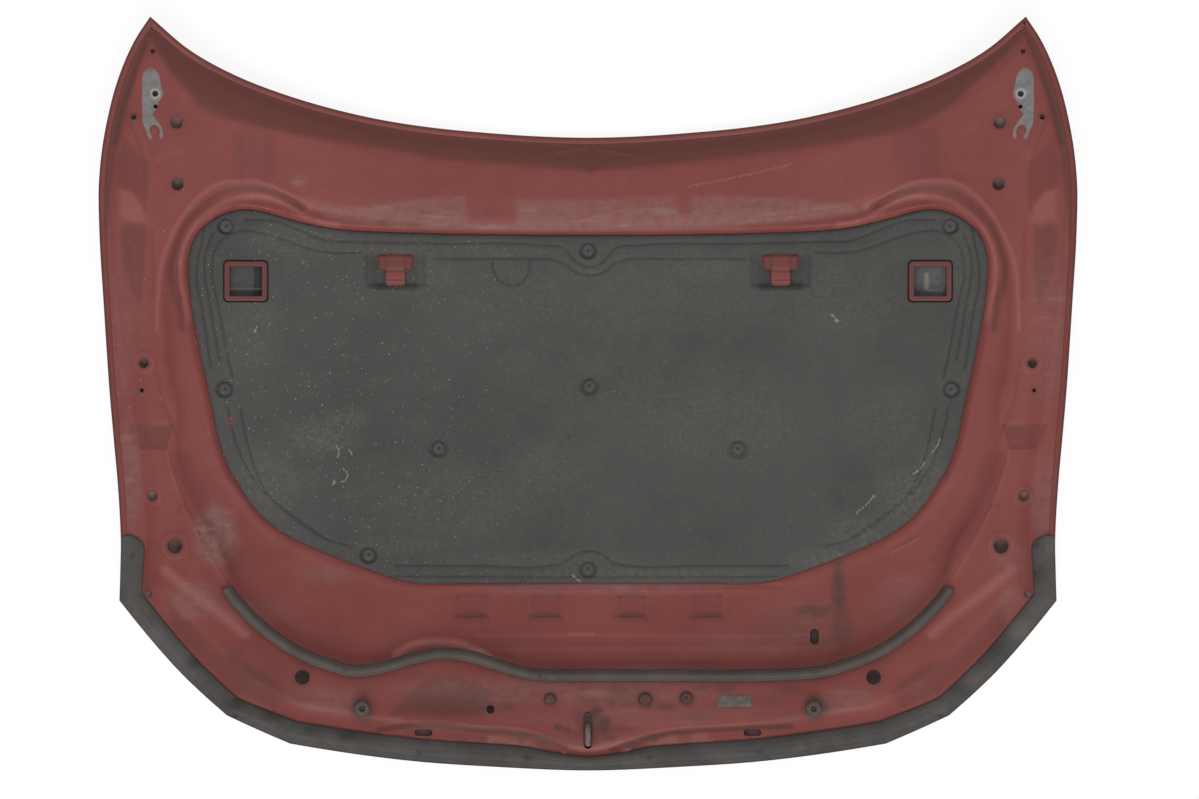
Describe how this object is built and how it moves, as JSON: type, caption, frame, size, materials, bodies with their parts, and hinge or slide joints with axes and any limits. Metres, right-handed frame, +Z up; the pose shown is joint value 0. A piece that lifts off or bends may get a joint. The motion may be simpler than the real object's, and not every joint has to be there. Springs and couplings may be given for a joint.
{
  "type": "car bonnet",
  "caption": "Red pressed-steel car bonnet, underside up, with its felt pad, clips, rubber seals, striker loop and buffers.",
  "frame": {"origin": "middle of the overall box, at the lowest point of the outer skin that the bonnet rests on", "axes": "+X across the bonnet, +Y towards the windscreen edge, -Y towards the nose, +Z up out of the underside"},
  "size_m": [1.4666, 1.1275, 0.139],
  "materials": {
    "red_paint": "faded satin paint with dust and wear",
    "felt": "pressed felt, matte, dusty",
    "seal_rubber": "matte",
    "clip_plastic": "matte",
    "buffer_rubber": "matte",
    "bare_steel": "dull",
    "foil": "worn, dull",
    "mastic": "matte"
  },
  "bodies": {
    "root": {"outer_skin": "red_paint", "inner_frame": "red_paint", "insulation_pad": "felt", "front_seal": "seal_rubber", "engine_bay_seal": "seal_rubber", "striker_plate": "bare_steel", "striker_loop": "bare_steel", "worn_foil": "foil", "pad_clip_top_centre": "clip_plastic", "pad_clip_top_left": "clip_plastic", "pad_clip_top_right": "clip_plastic", "pad_clip_mid_left": "clip_plastic", "pad_clip_mid_right": "clip_plastic", "pad_clip_centre": "clip_plastic", "pad_clip_lower_left": "clip_plastic", "pad_clip_lower_right": "clip_plastic", "pad_clip_bottom_centre": "clip_plastic", "pad_clip_bottom_left": "clip_plastic", "hinge_plate_left": "bare_steel", "hinge_nut_left": "bare_steel", "bump_stop_left": "buffer_rubber", "hinge_plate_right": "bare_steel", "hinge_nut_right": "bare_steel", "bump_stop_right": "buffer_rubber", "hole_plug_left": "clip_plastic", "hole_plug_centre": "clip_plastic", "hole_plug_right": "clip_plastic", "mastic_1": "mastic", "mastic_2": "mastic", "mastic_3": "mastic", "mastic_4": "mastic", "mastic_5": "mastic", "mastic_6": "mastic"}
  },
  "joints": []
}
